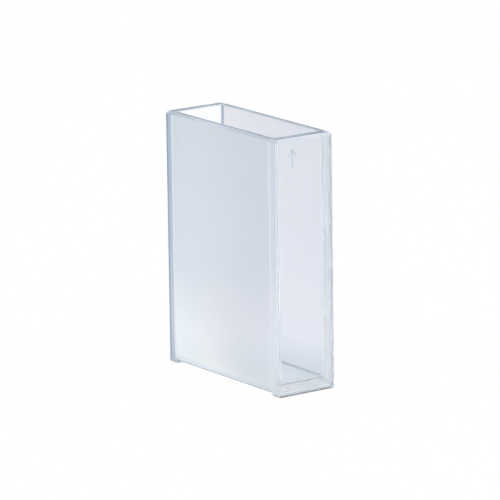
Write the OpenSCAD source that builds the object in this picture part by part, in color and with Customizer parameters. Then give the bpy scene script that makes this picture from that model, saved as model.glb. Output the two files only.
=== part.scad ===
// Rectangular absorption cell, fused from five ground quartz plates.
// +X is the light path, through the two polished windows.
// Y crosses the cell, from one ground side plate to the other.
// Z is up, and the origin is under the middle of the feet.

/* [Cell] */
// Clear light path between the two windows
path_length = 30; // [10:1:50]
// Overall width, as it fits the slot of a cell holder
cell_width = 12.5; // [9.5:0.5:25]
// Overall height, from the feet to the rim
cell_height = 47; // [25:1:60]

/* [Plates] */
// Thickness of each polished window
window_thickness = 2; // [1.25:0.05:3]
// Thickness of each ground side plate
side_thickness = 1.25; // [1:0.05:2.5]
// Thickness of the floor plate
floor_thickness = 1.25; // [1:0.05:3]
// How far the windows stand below the floor, as feet
foot_height = 0.65; // [0.3:0.05:1.5]

/* [Ground edges] */
// Bevel along the outer edge of the rim
rim_bevel = 0.4; // [0.1:0.05:0.5]
// Bevel along the inner edge of the rim
mouth_bevel = 0.15; // [0.05:0.05:0.3]
// Bevel along the upright and lower edges
edge_bevel = 0.2; // [0.05:0.05:0.25]
// Cut across the two rim corners of each window
rim_corner_cut = 0.6; // [0.3:0.05:1]
// Cut across the two foot corners of each window
foot_corner_cut = 0.45; // [0.25:0.05:0.8]

/* [Fused joints] */
// Radius of the glass drawn into each inner corner
joint_radius = 0.35; // [0.1:0.05:0.6]

/* [Hidden] */
cell_length = path_length + 2 * window_thickness;
inner_width = cell_width - 2 * side_thickness;
floor_top = foot_height + floor_thickness;
foot_joint_radius = min(joint_radius, foot_height / 2);
window_centre = (path_length + window_thickness) / 2;
overrun = 1;
joint_facets = 48;

// Rectangle centred across and standing on zero, with each pair of corners cut off.
module cut_outline(width, height, low_cut, high_cut) {
    half = width / 2;
    polygon([
        [low_cut - half, 0],
        [half - low_cut, 0],
        [half, low_cut],
        [half, height - high_cut],
        [half - high_cut, height],
        [high_cut - half, height],
        [-half, height - high_cut],
        [-half, low_cut]
    ]);
}

// Upright outline drawn over X and Z, carried along Y.
module along_y(length) {
    translate([0, length / 2, 0])
        rotate([90, 0, 0])
            linear_extrude(height = length)
                children();
}

// Upright outline drawn over Y and Z, carried along X.
module along_x(length) {
    translate([-length / 2, 0, 0])
        rotate([90, 0, 90])
            linear_extrude(height = length)
                children();
}

// Block of the whole cell with its long edges bevelled, as the fused cell is ground.
module ground_block(corner_low, corner_high) {
    intersection() {
        along_y(cell_width)
            cut_outline(cell_length, cell_height, edge_bevel, rim_bevel);
        along_x(cell_length)
            cut_outline(cell_width, cell_height, corner_low, corner_high);
        linear_extrude(height = cell_height)
            translate([0, -cell_width / 2])
                cut_outline(cell_length, cell_width, edge_bevel, edge_bevel);
    }
}

// Flared space that bevels the inner edge of the rim.
module mouth_flare() {
    flare_height = mouth_bevel + overrun;
    translate([0, 0, cell_height - mouth_bevel])
        intersection() {
            along_y(inner_width + 2 * flare_height)
                flare_outline(path_length, flare_height);
            along_x(path_length + 2 * flare_height)
                flare_outline(inner_width, flare_height);
        }
}

// Outline that widens upward at 45 degrees.
module flare_outline(width, height) {
    polygon([
        [-width / 2, 0],
        [width / 2, 0],
        [width / 2 + height, height],
        [-width / 2 - height, height]
    ]);
}

// Hollow bead that fills a square corner at the origin, open toward +X and +Y.
module joint_outline(radius) {
    difference() {
        square(radius);
        translate([radius, radius])
            circle(r = radius, $fn = joint_facets);
    }
}

// Beads that run up the two inner corners of the plate on the -Y side.
module upright_joints() {
    for (side = [0, 1])
        mirror([side, 0, 0])
            translate([-path_length / 2, -inner_width / 2, floor_top])
                linear_extrude(height = cell_height - floor_top)
                    joint_outline(joint_radius);
}

// Beads round the floor, along the side plates and along the windows.
module floor_joints() {
    for (side = [0, 1])
        mirror([0, side, 0])
            translate([0, -inner_width / 2, floor_top])
                along_x(path_length)
                    joint_outline(joint_radius);
    for (side = [0, 1])
        mirror([side, 0, 0])
            translate([-path_length / 2, 0, floor_top])
                along_y(inner_width)
                    joint_outline(joint_radius);
}

// Beads under the plates, along the inner faces of both window feet.
module foot_joints(from_y, to_y) {
    for (side = [0, 1])
        mirror([side, 0, 0])
            translate([-path_length / 2, (from_y + to_y) / 2, foot_height])
                mirror([0, 0, 1])
                    along_y(to_y - from_y)
                        joint_outline(foot_joint_radius);
}

// Polished window on the +X side, full width and full height.
module window() {
    difference() {
        intersection() {
            ground_block(foot_corner_cut, rim_corner_cut);
            translate([window_centre - window_thickness / 2, -cell_width / 2, 0])
                cube([window_thickness, cell_width, cell_height]);
        }
        mouth_flare();
    }
}

// Ground plate on the -Y side, held between the windows and clear of the bench.
module side_plate() {
    difference() {
        intersection() {
            translate([0, 0, foot_height])
                along_x(path_length)
                    side_section();
            ground_block(edge_bevel, rim_bevel);
        }
        mouth_flare();
    }
    difference() {
        upright_joints();
        mouth_flare();
    }
    foot_joints(edge_bevel - cell_width / 2, -inner_width / 2);
}

// Section of the side plate over Y and Z, bevelled along its outer lower edge.
module side_section() {
    outer = -cell_width / 2;
    inner = -inner_width / 2;
    polygon([
        [outer + edge_bevel, 0],
        [inner, 0],
        [inner, cell_height - foot_height],
        [outer, cell_height - foot_height],
        [outer, edge_bevel]
    ]);
}

module left_window() {
    color([0.88, 0.91, 0.96, 0.45])
        mirror([1, 0, 0])
            window();
}

module right_window() {
    color([0.88, 0.91, 0.96, 0.45])
        window();
}

module front_side_plate() {
    color([0.82, 0.86, 0.90])
        side_plate();
}

module rear_side_plate() {
    color([0.82, 0.86, 0.90])
        mirror([0, 1, 0])
            side_plate();
}

// Floor set in between all four plates, level with the lower ends of the side plates.
module floor_plate() {
    color([0.86, 0.89, 0.94])
        difference() {
            union() {
                translate([-path_length / 2, -inner_width / 2, foot_height])
                    cube([path_length, inner_width, floor_thickness]);
                floor_joints();
                foot_joints(-inner_width / 2, inner_width / 2);
            }
            upright_joints();
            mirror([0, 1, 0])
                upright_joints();
        }
}

left_window();
right_window();
front_side_plate();
rear_side_plate();
floor_plate();
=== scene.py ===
import math

import bmesh
import bpy
from mathutils import Matrix, Vector


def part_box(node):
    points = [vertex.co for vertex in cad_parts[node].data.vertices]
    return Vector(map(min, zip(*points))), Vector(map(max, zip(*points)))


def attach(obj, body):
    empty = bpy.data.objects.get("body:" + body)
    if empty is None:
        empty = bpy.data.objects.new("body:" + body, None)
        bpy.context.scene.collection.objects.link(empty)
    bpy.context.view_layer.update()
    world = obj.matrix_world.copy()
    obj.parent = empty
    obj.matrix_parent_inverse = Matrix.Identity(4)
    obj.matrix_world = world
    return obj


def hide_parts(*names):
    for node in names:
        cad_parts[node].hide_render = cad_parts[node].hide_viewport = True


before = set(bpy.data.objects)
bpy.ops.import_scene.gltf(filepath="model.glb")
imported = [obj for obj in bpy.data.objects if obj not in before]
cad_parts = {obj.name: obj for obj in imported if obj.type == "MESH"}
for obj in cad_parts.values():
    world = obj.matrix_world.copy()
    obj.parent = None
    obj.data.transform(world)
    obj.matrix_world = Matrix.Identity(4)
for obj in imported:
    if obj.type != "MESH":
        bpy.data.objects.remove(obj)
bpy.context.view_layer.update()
mm = 0.001
quartzIor = 1.458
plates = ["left_window", "right_window", "front_side_plate", "rear_side_plate", "floor_plate"]
windowLow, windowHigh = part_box("right_window")
cell = {
    "outerX": windowHigh.x,
    "seamX": windowLow.x,  # where the side plates end at each window
    "outerY": windowHigh.y,
    "innerY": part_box("floor_plate")[1].y,
    "rim": windowHigh.z,
    "underside": 0.65 * mm,  # the side plates and the floor start at this height
    "seamHalf": 0.25 * mm,  # half the width of the molten seam
    "bevelBand": 0.5 * mm,  # the middle of every bevel is nearer the outline than this
}
print("frame:", ", ".join(sorted(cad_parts)))


def linear(hexColour):  # sRGB hex to linear
    channels = [int(hexColour[i:i + 2], 16) / 255 for i in (1, 3, 5)]
    return (*[c / 12.92 if c <= 0.04045 else ((c + 0.055) / 1.055) ** 2.4 for c in channels], 1.0)


def addNode(tree, kind, settings=None, links=None):  # a setting is an input's value or an attribute
    node = tree.nodes.new(kind)
    for name, value in (settings or {}).items():
        if isinstance(name, int) or name in node.inputs:
            node.inputs[name].default_value = value
        else:
            setattr(node, name, value)
    for name, source in (links or {}).items():
        tree.links.new(source, node.inputs[name])
    return node


def newMaterial(name):
    material = bpy.data.materials.new(name)
    material.use_nodes = True
    material.node_tree.nodes.clear()
    return material, material.node_tree


def noiseValue(tree, place, scale, detail, stretch=(1, 1, 1)):
    stretched = addNode(tree, "ShaderNodeMapping", {"Scale": stretch}, {"Vector": place})
    noise = addNode(tree, "ShaderNodeTexNoise", {"Scale": scale, "Detail": detail}, {
        "Vector": stretched.outputs[0]})
    return noise.outputs["Fac"]


def eased(fromRange, toRange):  # settings of a Map Range that eases in and out
    return {"interpolation_type": "SMOOTHSTEP", "From Min": fromRange[0], "From Max": fromRange[1],
            "To Min": toRange[0], "To Max": toRange[1]}


def ramp(tree, value, stops):  # stops are (mm, hex) pairs in rising order
    low, high = stops[0][0], stops[-1][0]
    share = addNode(tree, "ShaderNodeMapRange", {
        "From Min": low * mm, "From Max": high * mm}, {"Value": value})
    colours = addNode(tree, "ShaderNodeValToRGB", links={0: share.outputs[0]})
    elements = colours.color_ramp.elements
    elements[0].color, elements[1].color = linear(stops[0][1]), linear(stops[-1][1])
    for place, colour in stops[1:-1]:
        elements.new((place - low) / (high - low)).color = linear(colour)
    return colours.outputs[0]


polished = {
    "colour": "#feffff",
    "haze": (0.0, 0.03),  # roughness between the wipe marks and on them
    "hazeScale": 110,  # wipe marks about 9 mm apart
    "hazeDetail": 3,
    "hazeEdges": (0.5, 0.75),
}


def polishedQuartz(s):
    # fused quartz, optically polished: clear, sharp reflections, a breath of wiping haze
    material, tree = newMaterial("polishedQuartz")
    place = addNode(tree, "ShaderNodeTexCoord").outputs["Object"]
    marks = noiseValue(tree, place, s["hazeScale"], s["hazeDetail"])
    haze = addNode(tree, "ShaderNodeMapRange", eased(s["hazeEdges"], s["haze"]), {"Value": marks})
    glass = addNode(tree, "ShaderNodeBsdfPrincipled", {
        "Base Color": linear(s["colour"]), "IOR": quartzIor, "Transmission Weight": 1.0}, {
        "Roughness": haze.outputs[0]})
    addNode(tree, "ShaderNodeOutputMaterial", links={"Surface": glass.outputs[0]})
    return material


ground = {
    "cloudScale": 200,  # soft clouds about 5 mm across
    "cloudDetail": 2, "cloudEdges": (0.35, 0.65), "streak": (1, 1, 1),
    "grainScale": 2500,  # real grain is 0.02 mm, drawn at 0.4 mm so that it shows
    "grainDetail": 2, "grainEdges": (0.3, 0.7),
    "bump": 0.05, "bumpDepth": 0.05 * mm,
}
brushed = {**ground, "cloudScale": 70, "streak": (1, 1, 0.03), "bump": 0.0}  # faint upright grinding streaks
smoothed = {**ground, "roughness": (0.32, 0.38), "bump": 0.0}  # too fine to show any relief
bevelled = {**ground, "roughness": (0.4, 0.5), "transmission": 0.95}  # narrow faces that read as lines
sideFinish = {  # the widest faces: frosted, pale and milky
    **brushed, "low": "#f8fdff", "high": "#fdffff", "roughness": (0.66, 0.74), "transmission": 0.85,
    "upward": [  # painted shade: a thin darker band at the floor, and darker again toward the rim
        (0.6, "#ecf1f7"), (1.3, "#eef3f8"), (1.9, "#feffff"), (8, "#fcfdff"),
        (20, "#eaf0f6"), (36, "#e4ebf1"), (47, "#e2e9ee")],
    "paintedLightCorner": {  # painted light: whiter toward one lower corner of the front plate, fading over these stretches
        "Z": (0, 26 * mm), "X": (-12 * mm, 18 * mm), "Y": (-1 * mm, 0), "most": 0.55},
}
endFinish = {  # ground more finely than the sides: a satin sheen
    **brushed, "low": "#f4f7fb", "high": "#ffffff", "roughness": (0.3, 0.34), "transmission": 0.8,
    # painted shade: darker toward the top
    "upward": [(0, "#ffffff"), (10, "#ffffff"), (24, "#ebeff3"), (47, "#dfe5ec")],
    "across": [  # painted shade: the far window's ends darker, darkest toward the outline, and the near ends a little darker at the outline
        (-17.0, "#566b8a"), (-16.6, "#8299b5"), (-16.2, "#cad6e3"), (-15.4, "#d3dee9"), (-15.2, "#eef3f8"),
        (15.2, "#f4f8fb"), (17.0, "#ecf1f6")],
}
seamFinish = {  # melted glass along the joint: a whiter line
    **ground, "low": "#f6fafd", "high": "#fcfeff", "roughness": (0.4, 0.5), "transmission": 0.7,
}
rimShadeFinish = {  # lapped flat, with no shine; its even grey is painted shade
    **ground, "low": "#8998ab", "high": "#92a1b3", "roughness": (0.55, 0.65), "transmission": 0.97,
}
shadedRimBevelFinish = {**bevelled, "low": "#c6d1de", "high": "#ced8e4"}  # painted shade: a thin grey line, paler than the rim
bevelFinish = {  # most other bevels: nearly white, with a brighter glint
    **ground, "low": "#f0f5fb", "high": "#f6faff", "roughness": (0.35, 0.45), "transmission": 0.9,
}
shadedLowBevelFinish = {**bevelled, "low": "#a3b1c2", "high": "#adbaca"}  # painted shade: grey, near the bench
shadedLowEdgeFinish = {**bevelled, "low": "#556276", "high": "#606d81"}  # painted shade: darker, along the foot of each side
innerFinish = {  # fine ground: softly blurs what is behind it, with a lavender cast
    **smoothed, "low": "#f7f1f8", "high": "#fbf5fa", "transmission": 0.87,
    "cloudScale": 70, "streak": (1, 1, 0.05),
    # painted shade: darker near the floor
    "upward": [(1.9, "#d3dde5"), (3.5, "#dbe5ee"), (8, "#f5faff"), (14, "#ffffff"), (47, "#ffffff")],
}
floorFinish = {**smoothed, "low": "#c7d2dd", "high": "#cfd9e3", "transmission": 1.0}  # clear, a little grey
underFinish = {  # left as ground: nearly white
    **ground, "low": "#fafdff", "high": "#ffffff", "roughness": (0.6, 0.7), "transmission": 0.95,
}
contactShadowFinish = {  # soles and their bevels: a painted contact shadow, the dark line where the glass stands
    **ground, "low": "#10161f", "high": "#161d27", "roughness": (0.5, 0.6), "transmission": 0.97,
}
beadFinish = {  # rounded by the flame: faint lines, with painted shade darker toward the far window and at the floor joint
    **smoothed, "low": "#f8fbfe", "high": "#ffffff", "transmission": 0.7,
    "across": [(-15, "#aab7c9"), (0, "#b6c3d1"), (12, "#c6d1dd"), (14.6, "#f1f5f9"), (15, "#f1f5f9")],
    "upward": [(0.65, "#ffffff"), (1.85, "#e6e9ed"), (2.4, "#e6e9ed"), (3, "#ffffff"), (47, "#ffffff")],
}
etchFinish = {  # etched by acid: frosted grey strokes, and the same inside the pits
    **ground, "low": "#c6d0dc", "high": "#cfd8e2", "roughness": (0.45, 0.55), "transmission": 0.8,
}


def paintedLightTransmission(tree, axes, clear, s):  # painted light: the transmission falls toward one lower corner, so that it shows whiter there
    fades = [addNode(tree, "ShaderNodeMapRange", eased(s[axis], (1, 0)), {"Value": axes[axis]}).outputs[0]
             for axis in "ZXY"]
    corner = fades[0]
    for fade in fades[1:]:
        corner = addNode(tree, "ShaderNodeMath", {"operation": "MULTIPLY"}, {0: corner, 1: fade}).outputs[0]
    weight = addNode(tree, "ShaderNodeMapRange", eased((0, 1), (clear, clear - s["most"])), {"Value": corner})
    return weight.outputs[0]


def groundQuartz(name, s):
    # fused quartz, ground with fine grit: frosted, soft broad highlights, milky body
    material, tree = newMaterial(name)
    place = addNode(tree, "ShaderNodeTexCoord").outputs["Object"]
    axes = addNode(tree, "ShaderNodeSeparateXYZ", links={0: place}).outputs
    clouds = noiseValue(tree, place, s["cloudScale"], s["cloudDetail"], s["streak"])
    cloud = addNode(tree, "ShaderNodeMapRange", eased(s["cloudEdges"], (0, 1)), {"Value": clouds})
    clouded = addNode(tree, "ShaderNodeMix", {
        "data_type": "RGBA", 6: linear(s["low"]), 7: linear(s["high"])}, {0: cloud.outputs[0]})
    colour = clouded.outputs[2]
    # the ramps along X and Z are painted shade, multiplied into the colour
    for paintedShadeRamp, axis in (("across", "X"), ("upward", "Z")):
        if paintedShadeRamp in s:
            paintedShadeMix = addNode(tree, "ShaderNodeMix", {"data_type": "RGBA", "blend_type": "MULTIPLY", 0: 1.0}, {
                6: colour, 7: ramp(tree, axes[axis], s[paintedShadeRamp])})
            colour = paintedShadeMix.outputs[2]
    grain = noiseValue(tree, place, s["grainScale"], s["grainDetail"])
    rough = addNode(tree, "ShaderNodeMapRange", eased(s["grainEdges"], s["roughness"]), {"Value": grain})
    bump = addNode(tree, "ShaderNodeBump", {
        "Strength": s["bump"], "Distance": s["bumpDepth"]}, {"Height": grain})
    glass = addNode(tree, "ShaderNodeBsdfPrincipled", {
        "IOR": quartzIor, "Transmission Weight": s["transmission"]}, {
        "Base Color": colour, "Roughness": rough.outputs[0], "Normal": bump.outputs[0]})
    if "paintedLightCorner" in s:
        paintedLightCorner = paintedLightTransmission(tree, axes, s["transmission"], s["paintedLightCorner"])
        tree.links.new(paintedLightCorner, glass.inputs["Transmission Weight"])
    addNode(tree, "ShaderNodeOutputMaterial", links={"Surface": glass.outputs[0]})
    return material


finishes = {
    "polished": polishedQuartz(polished),
    "side": groundQuartz("groundSideQuartz", sideFinish),
    "windowEnd": groundQuartz("groundWindowEndQuartz", endFinish),
    "seam": groundQuartz("fusedSeamQuartz", seamFinish),
    "rim": groundQuartz("lappedRimQuartz", rimShadeFinish),
    "shadedRimBevel": groundQuartz("bevelledRimQuartz", shadedRimBevelFinish),
    "bevel": groundQuartz("bevelledQuartz", bevelFinish),
    "shadedLowBevel": groundQuartz("bevelledSideFootQuartz", shadedLowBevelFinish),
    "shadedLowEdge": groundQuartz("bevelledLowerEdgeQuartz", shadedLowEdgeFinish),
    "contactShadowFoot": groundQuartz("bevelledWindowFootQuartz", contactShadowFinish),
    "floorTop": groundQuartz("groundFloorQuartz", floorFinish),
    "inner": groundQuartz("fineGroundInnerQuartz", innerFinish),
    "underside": groundQuartz("groundUndersideQuartz", underFinish),
    "etch": groundQuartz("etchedQuartz", etchFinish),
    "bead": groundQuartz("firePolishedQuartz", beadFinish),
}
finishNames = list(finishes)
print("materials:", ", ".join(finishNames))


def finishOf(c, n):  # centre and normal of a face
    near, band = 0.02 * mm, cell["bevelBand"]
    flat, sloped, level = 0.9999, 0.5, 0.1  # parts of a normal along one axis
    x, y = abs(c.x), abs(c.y)
    if abs(n.x) > flat:
        if x > cell["outerX"] - near:
            return "polished"
        if c.z < cell["underside"]:  # inner face of a foot
            # painted shade under the cell on the +X foot's inner face
            return "shadedLowBevel" if c.x > 0 else "bevel"
        return "polished" if y < cell["innerY"] + near else "bevel"  # a side plate's end at a corner cut
    if abs(n.y) > flat:
        if y < cell["innerY"] + near:
            return "inner"
        if abs(x - cell["seamX"]) < cell["seamHalf"]:
            return "seam"
        return "side" if x < cell["seamX"] else "windowEnd"
    if n.z > flat:
        # the rim takes painted shade
        return "rim" if c.z > cell["rim"] - near else "floorTop"
    if n.z < -flat:
        # soles take the painted contact shadow
        return "underside" if c.z > near else "contactShadowFoot"
    if n.z > sloped and c.z > cell["rim"] - band:  # painted shade on the rim bevels, left off over the windows, which stay brighter
        return "bevel" if x > cell["outerX"] - band and abs(n.y) < level else "shadedRimBevel"
    if x < cell["seamX"] + near and (y < cell["innerY"] + near or c.z < cell["underside"]):
        return "bead"
    if n.z < -sloped:
        # painted shade along the foot of each side plate
        if c.z > cell["underside"] and x < cell["seamX"]:
            return "shadedLowEdge"
        # painted contact shadow at the soles' bevels, painted shade on the other low bevels
        return "contactShadowFoot" if c.z < cell["underside"] / 2 and abs(n.y) < sloped else "shadedLowBevel"
    return "bevel"


def newTree(name, inputs):
    tree = bpy.data.node_groups.new(name, "GeometryNodeTree")
    for label, kind in inputs.items():
        tree.interface.new_socket(label, in_out="INPUT", socket_type="NodeSocket" + kind)
    tree.interface.new_socket("Geometry", in_out="OUTPUT", socket_type="NodeSocketGeometry")
    return tree, addNode(tree, "NodeGroupInput").outputs


def lineObject(name, points, lines):
    mesh = bpy.data.meshes.new(name)
    mesh.from_pydata(points, lines, [])
    made = bpy.data.objects.new(name, mesh)
    bpy.context.scene.collection.objects.link(made)
    return made


def applyTree(target, tree, values):  # inputs are set by the socket's identifier
    modifier = target.modifiers.new(tree.name, "NODES")
    modifier.node_group = tree
    for item in tree.interface.items_tree:
        if item.in_out == "INPUT" and item.name in values:
            modifier[item.identifier] = values[item.name]
    graph = bpy.context.evaluated_depsgraph_get()
    graph.update()
    mesh = bpy.data.meshes.new_from_object(target.evaluated_get(graph))
    mesh.name = target.name
    target.modifiers.clear()
    target.data = mesh
    return target


arrow = {  # etched at the top of one window
    "across": -2.6 * mm, "up": 43.3 * mm,  # middle of the mark on the +X window
    "width": 1.7 * mm,
    "height": 3.4 * mm,
    "head": 1.3 * mm,
    "stroke": 0.15 * mm,  # depth of a stroke and half its width
    "sides": 12,  # of the round tip
}


def strokeTree():
    tree, given = newTree("etchedStroke", {
        "Lines": "Geometry", "Radius": "Float", "Sides": "Int", "Finish": "Material"})
    path = addNode(tree, "GeometryNodeMeshToCurve", links={"Mesh": given["Lines"]})
    profile = addNode(tree, "GeometryNodeCurvePrimitiveCircle", links={
        "Radius": given["Radius"], "Resolution": given["Sides"]})
    tube = addNode(tree, "GeometryNodeCurveToMesh", {"Fill Caps": True}, {
        "Curve": path.outputs[0], "Profile Curve": profile.outputs[0]})
    real = addNode(tree, "GeometryNodeRealizeInstances", links={0: tube.outputs[0]})
    etched = addNode(tree, "GeometryNodeSetMaterial", links={
        "Geometry": real.outputs[0], "Material": given["Finish"]})
    addNode(tree, "NodeGroupOutput", links={0: etched.outputs[0]})
    return tree


def makeArrow(s):
    x, y, z = cell["outerX"], s["across"], s["up"]
    top, half = z + s["height"] / 2, s["width"] / 2
    points = [(x, y - half, top - s["head"]), (x, y, top), (x, y + half, top - s["head"]),
              (x, y, z - s["height"] / 2), (x, y, top)]
    lines = lineObject("etchedArrow", points, [(0, 1), (1, 2), (3, 4)])
    return applyTree(lines, strokeTree(), {
        "Radius": s["stroke"], "Sides": s["sides"], "Finish": finishes["etch"]})


pits = {  # small gas bubbles left open along the fused seams
    "spacing": 4.1 * mm,
    "radius": 0.07 * mm,
    "wander": 0.2 * mm,
    "seed": 11,  # other seeds can leave a bubble closed inside the glass
    "least": (-1, 0, -9), "most": (1, 0.1, 9),  # times the wander, along x, y and z
    "sizes": (0.4, 1.3),  # smallest and largest, as shares of the radius
    "detail": 2,  # subdivisions of a ball
    "margin": 2 * mm,  # kept clear at both ends of a seam
}


def pitTree(s):
    tree, given = newTree("seamPits", {
        "Lines": "Geometry", "Spacing": "Float", "Radius": "Float", "Wander": "Float",
        "Seed": "Int", "Finish": "Material"})
    path = addNode(tree, "GeometryNodeMeshToCurve", links={"Mesh": given["Lines"]})
    points = addNode(tree, "GeometryNodeCurveToPoints", {"mode": "LENGTH"}, {
        "Curve": path.outputs[0], "Length": given["Spacing"]})
    shift = addNode(tree, "FunctionNodeRandomValue", {
        "data_type": "FLOAT_VECTOR", 0: s["least"], 1: s["most"]}, {"Seed": given["Seed"]})
    offset = addNode(tree, "ShaderNodeVectorMath", {"operation": "SCALE"}, {
        0: shift.outputs[0], "Scale": given["Wander"]})
    moved = addNode(tree, "GeometryNodeSetPosition", links={
        "Geometry": points.outputs[0], "Offset": offset.outputs[0]})
    ball = addNode(tree, "GeometryNodeMeshIcoSphere", {"Subdivisions": s["detail"]}, {
        "Radius": given["Radius"]})
    size = addNode(tree, "FunctionNodeRandomValue", {
        "data_type": "FLOAT", 2: s["sizes"][0], 3: s["sizes"][1]}, {"Seed": given["Seed"]})
    placed = addNode(tree, "GeometryNodeInstanceOnPoints", links={
        "Points": moved.outputs[0], "Instance": ball.outputs[0], "Scale": size.outputs[1]})
    real = addNode(tree, "GeometryNodeRealizeInstances", links={0: placed.outputs[0]})
    marked = addNode(tree, "GeometryNodeSetMaterial", links={
        "Geometry": real.outputs[0], "Material": given["Finish"]})
    addNode(tree, "NodeGroupOutput", links={0: marked.outputs[0]})
    return tree


def makePits(s):
    low, high = s["margin"], cell["rim"] - s["margin"]
    corners = [(x, y) for x in (-cell["seamX"], cell["seamX"]) for y in (-cell["outerY"], cell["outerY"])]
    points = [(x, y, z) for x, y in corners for z in (low, high)]
    lines = lineObject("seamPits", points, [(2 * i, 2 * i + 1) for i in range(len(corners))])
    return applyTree(lines, pitTree(s), {
        "Spacing": s["spacing"], "Radius": s["radius"], "Wander": s["wander"], "Seed": s["seed"],
        "Finish": finishes["etch"]})


fusing = {
    "weld": 0.001 * mm,  # corners nearer than this become one
    "seamCut": 0.00001 * mm,  # a corner nearer than this to a seam's edge is taken as on it
    "flat": 0.5,  # faces of one finish are joined under this angle in degrees
    "soft": 20,  # edges are shaded smooth under this angle in degrees
}


def fuseTree(cutters):
    tree, given = newTree("fusePlates", {
        "Start": "Geometry", "Weld Distance": "Float", "Finish": "Material", "Cut Finish": "Material"})
    union = addNode(tree, "GeometryNodeMeshBoolean", {"operation": "UNION", "solver": "EXACT"})
    for name in plates:
        plate = addNode(tree, "GeometryNodeObjectInfo", {"Object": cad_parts[name]})
        weld = addNode(tree, "GeometryNodeMergeByDistance", links={
            "Geometry": plate.outputs["Geometry"], "Distance": given["Weld Distance"]})
        tree.links.new(weld.outputs[0], union.inputs["Mesh 2"])
    cut = addNode(tree, "GeometryNodeMeshBoolean", {
        "operation": "DIFFERENCE", "solver": "EXACT", "Self Intersection": True}, {
        "Mesh 1": union.outputs[0]})
    for cutter in cutters:
        shape = addNode(tree, "GeometryNodeObjectInfo", {"Object": cutter})
        tree.links.new(shape.outputs["Geometry"], cut.inputs["Mesh 2"])
    whole = addNode(tree, "GeometryNodeMergeByDistance", links={
        "Geometry": cut.outputs[0], "Distance": given["Weld Distance"]})
    real = addNode(tree, "GeometryNodeRealizeInstances", links={0: whole.outputs[0]})
    cutFaces = addNode(tree, "GeometryNodeMaterialSelection", links={"Material": given["Cut Finish"]})
    uncut = addNode(tree, "FunctionNodeBooleanMath", {"operation": "NOT"}, {0: cutFaces.outputs[0]})
    glass = addNode(tree, "GeometryNodeSetMaterial", links={
        "Geometry": real.outputs[0], "Selection": uncut.outputs[0], "Material": given["Finish"]})
    addNode(tree, "NodeGroupOutput", links={0: glass.outputs[0]})
    return tree


def makeCell(s):
    cutters = [makeArrow(arrow), makePits(pits)]
    print("cutters:", ", ".join(cutter.name for cutter in cutters))
    start = lineObject("fusedCell", [(0, 0, 0)], [])  # one point, only to carry the tree
    body = applyTree(start, fuseTree(cutters), {
        "Weld Distance": s["weld"], "Finish": finishes["polished"], "Cut Finish": finishes["etch"]})
    for cutter in cutters:
        bpy.data.objects.remove(cutter)
    mesh = body.data
    etchSlot = mesh.materials.find(finishes["etch"].name)
    bm = bmesh.new()
    bm.from_mesh(mesh)
    for end in (-1, 1):  # both edges of the molten seam at each end
        for edge in (-1, 1):
            plane = (end * (cell["seamX"] + edge * cell["seamHalf"]), 0, 0)
            glass = [f for f in bm.faces if f.material_index != etchSlot]
            bmesh.ops.bisect_plane(bm, geom=bm.verts[:] + bm.edges[:] + glass,
                                   dist=s["seamCut"], plane_co=plane, plane_no=(1, 0, 0))
    for f in bm.faces:
        finish = "etch" if f.material_index == etchSlot else finishOf(f.calc_center_median(), f.normal)
        f.material_index = finishNames.index(finish)
        f.smooth = finish in ("etch", "bead")  # the only round faces
    bmesh.ops.dissolve_limit(bm, angle_limit=math.radians(s["flat"]), verts=bm.verts, edges=bm.edges,
                             delimit={"MATERIAL"})
    for e in bm.edges:
        e.smooth = e.calc_face_angle(math.pi) < math.radians(s["soft"])
    openEdges = sum(1 for e in bm.edges if len(e.link_faces) != 2)
    volume = round(bm.calc_volume() / mm ** 3, 2)
    print("cell:", len(bm.faces), "faces,", openEdges, "open edges,", volume, "mm3")
    mesh.materials.clear()
    for material in finishes.values():
        mesh.materials.append(material)
    bm.to_mesh(mesh)
    bm.free()
    if "custom_normal" in mesh.attributes:  # left over from the frame's triangles
        mesh.attributes.remove(mesh.attributes["custom_normal"])
    return body


body = makeCell(fusing)
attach(body, "root")
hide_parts(*plates)

camera = {  # angles in degrees, lens and sensor in millimetres
    "azimuth": 54.5855,
    "elevation": 13.3078,
    "roll": -0.8031,
    "distance": 921.1447 * mm,
    "lens": 367.331,
    "sensor": 36,
    "nearest": 10 * mm,
    "aim": Vector((-0.1039, 0.1221, 23.157)) * mm,
}


def addCamera(s):
    a, e, r = (math.radians(s[k]) for k in ("azimuth", "elevation", "roll"))
    back = Vector((math.sin(a) * math.cos(e), -math.cos(a) * math.cos(e), math.sin(e)))
    across = Vector((math.cos(a), math.sin(a), 0))
    turn = Matrix((across, back.cross(across), back)).transposed() @ Matrix.Rotation(r, 3, "Z")
    lens = bpy.data.cameras.new("camera")
    lens.sensor_width = s["sensor"]
    lens.lens = s["lens"]
    lens.clip_start = s["nearest"]
    seen = bpy.data.objects.new("camera", lens)
    seen.matrix_world = Matrix.Translation(s["aim"] + back * s["distance"]) @ turn.to_4x4()
    bpy.context.scene.collection.objects.link(seen)
    bpy.context.scene.camera = seen


addCamera(camera)
print("camera set")

card = {
    "size": 1500 * mm,  # half its width
    "drop": 0.02 * mm,  # below the feet
    "colour": "#f6f6f6",
    "white": "#ffffff",
    "glow": 0.95,  # share of plain white where it is seen, so that only a breath of shadow is left
}


def seenDirectly(tree):  # 1 where the camera, a reflection or the glass shows it
    path = addNode(tree, "ShaderNodeLightPath").outputs
    seen = path["Is Camera Ray"]
    for kind in ("Is Glossy Ray", "Is Transmission Ray"):
        seen = addNode(tree, "ShaderNodeMath", {"operation": "MAXIMUM"}, {0: seen, 1: path[kind]}).outputs[0]
    return seen


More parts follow.
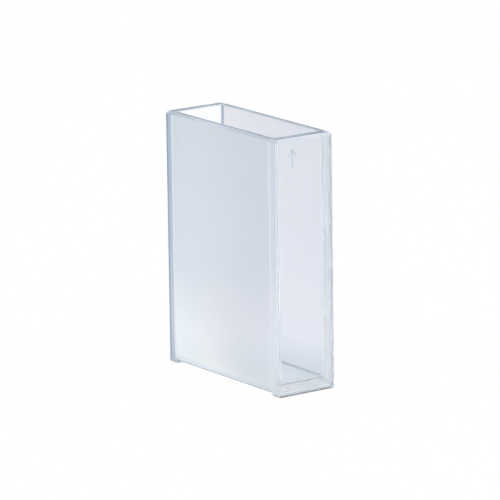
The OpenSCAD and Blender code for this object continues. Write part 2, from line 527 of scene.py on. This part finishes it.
def addFloor(s):
    mesh = bpy.data.meshes.new("floor")
    w, z = s["size"], -s["drop"]
    mesh.from_pydata([(-w, -w, z), (w, -w, z), (w, w, z), (-w, w, z)], [], [(0, 1, 2, 3)])
    floor = bpy.data.objects.new("floor", mesh)
    bpy.context.scene.collection.objects.link(floor)
    material, tree = newMaterial("whiteCard")
    share = addNode(tree, "ShaderNodeMath", {"operation": "MULTIPLY", 1: s["glow"]}, {0: seenDirectly(tree)})
    paper = addNode(tree, "ShaderNodeBsdfDiffuse", {"Color": linear(s["colour"])})
    glow = addNode(tree, "ShaderNodeEmission", {"Color": linear(s["white"]), "Strength": 1.0})
    mix = addNode(tree, "ShaderNodeMixShader", links={
        0: share.outputs[0], 1: paper.outputs[0], 2: glow.outputs[0]})
    addNode(tree, "ShaderNodeOutputMaterial", links={"Surface": mix.outputs[0]})
    mesh.materials.append(material)


addFloor(card)

studio = {
    "white": "#ffffff",
    "horizon": 1.0, "overhead": 0.99,  # nearly even, because the glass renders darker in a world of one value
    "rise": (0.2, 0.9),  # heights on the sky between which it changes
    "backdrop": 1.0,  # where the camera sees it
}


def addWorld(s):
    world = bpy.data.worlds.new("studio")
    bpy.context.scene.world = world
    world.use_nodes = True
    tree = world.node_tree
    tree.nodes.clear()
    path = addNode(tree, "ShaderNodeLightPath").outputs
    place = addNode(tree, "ShaderNodeTexCoord").outputs["Generated"]
    height = addNode(tree, "ShaderNodeSeparateXYZ", links={0: place}).outputs["Z"]
    light = addNode(tree, "ShaderNodeMapRange", eased(s["rise"], (s["horizon"], s["overhead"])), {
        "Value": height})
    strength = addNode(tree, "ShaderNodeMix", {"data_type": "FLOAT", 3: s["backdrop"]}, {
        0: path["Is Camera Ray"], 2: light.outputs[0]})
    shader = addNode(tree, "ShaderNodeBackground", {"Color": linear(s["white"])}, {
        "Strength": strength.outputs[0]})
    addNode(tree, "ShaderNodeOutputWorld", links={"Surface": shader.outputs[0]})


addWorld(studio)

softboxes = {
    "overheadSoftbox": {
        "place": (50 * mm, 50 * mm, 550 * mm), "size": (600 * mm, 600 * mm), "watts": 0.5},
}


def addSoftbox(name, s):
    lamp = bpy.data.lights.new(name, "AREA")
    lamp.shape = "RECTANGLE"
    lamp.size, lamp.size_y = s["size"]
    lamp.energy = s["watts"]
    box = bpy.data.objects.new(name, lamp)
    box.location = s["place"]
    box.rotation_euler = (camera["aim"] - Vector(s["place"])).to_track_quat("-Z", "Y").to_euler()
    bpy.context.scene.collection.objects.link(box)


for name, settings in softboxes.items():
    addSoftbox(name, settings)
print("stage, world and softboxes set")

scene = bpy.context.scene
scene.view_settings.view_transform = "Standard"
bounces = 40  # light runs along inside the plates for many reflections
scene.cycles.max_bounces = bounces
scene.cycles.transmission_bounces = bounces
scene.cycles.glossy_bounces = bounces
scene.cycles.blur_glossy = 0.0  # blurring takes light from such long paths
